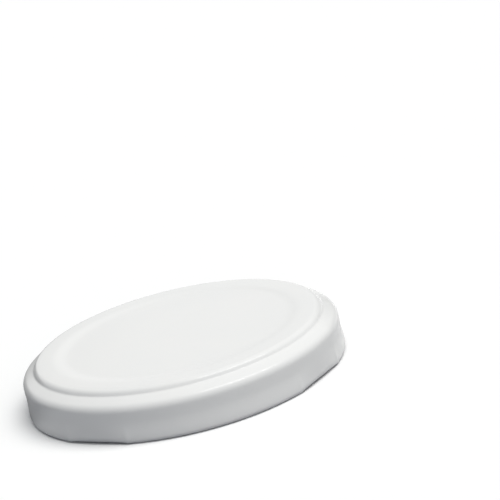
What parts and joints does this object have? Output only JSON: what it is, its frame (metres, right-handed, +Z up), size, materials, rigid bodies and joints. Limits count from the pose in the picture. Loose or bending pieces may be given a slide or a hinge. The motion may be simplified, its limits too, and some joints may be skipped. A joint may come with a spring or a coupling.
{
  "type": "jar lid",
  "caption": "Twist-off jar lid in white enamelled sheet metal, with a raised ring on top, a rolled hem pressed into lugs, and a ring of sealing compound inside.",
  "frame": {"origin": "centre of the hem's lowest plane, on the lid's axis", "axes": "+Z up the lid's axis, out of the top panel; the lugs lie on the diagonals between X and Y"},
  "size_m": [0.0684, 0.0684, 0.0106],
  "materials": {
    "white_enamel": "glossy white enamel on tinplate",
    "sealing_compound": "satin off-white cured sealing compound"
  },
  "bodies": {
    "root": {"lid_shell": "white_enamel", "sealing_ring": "sealing_compound"}
  },
  "joints": []
}
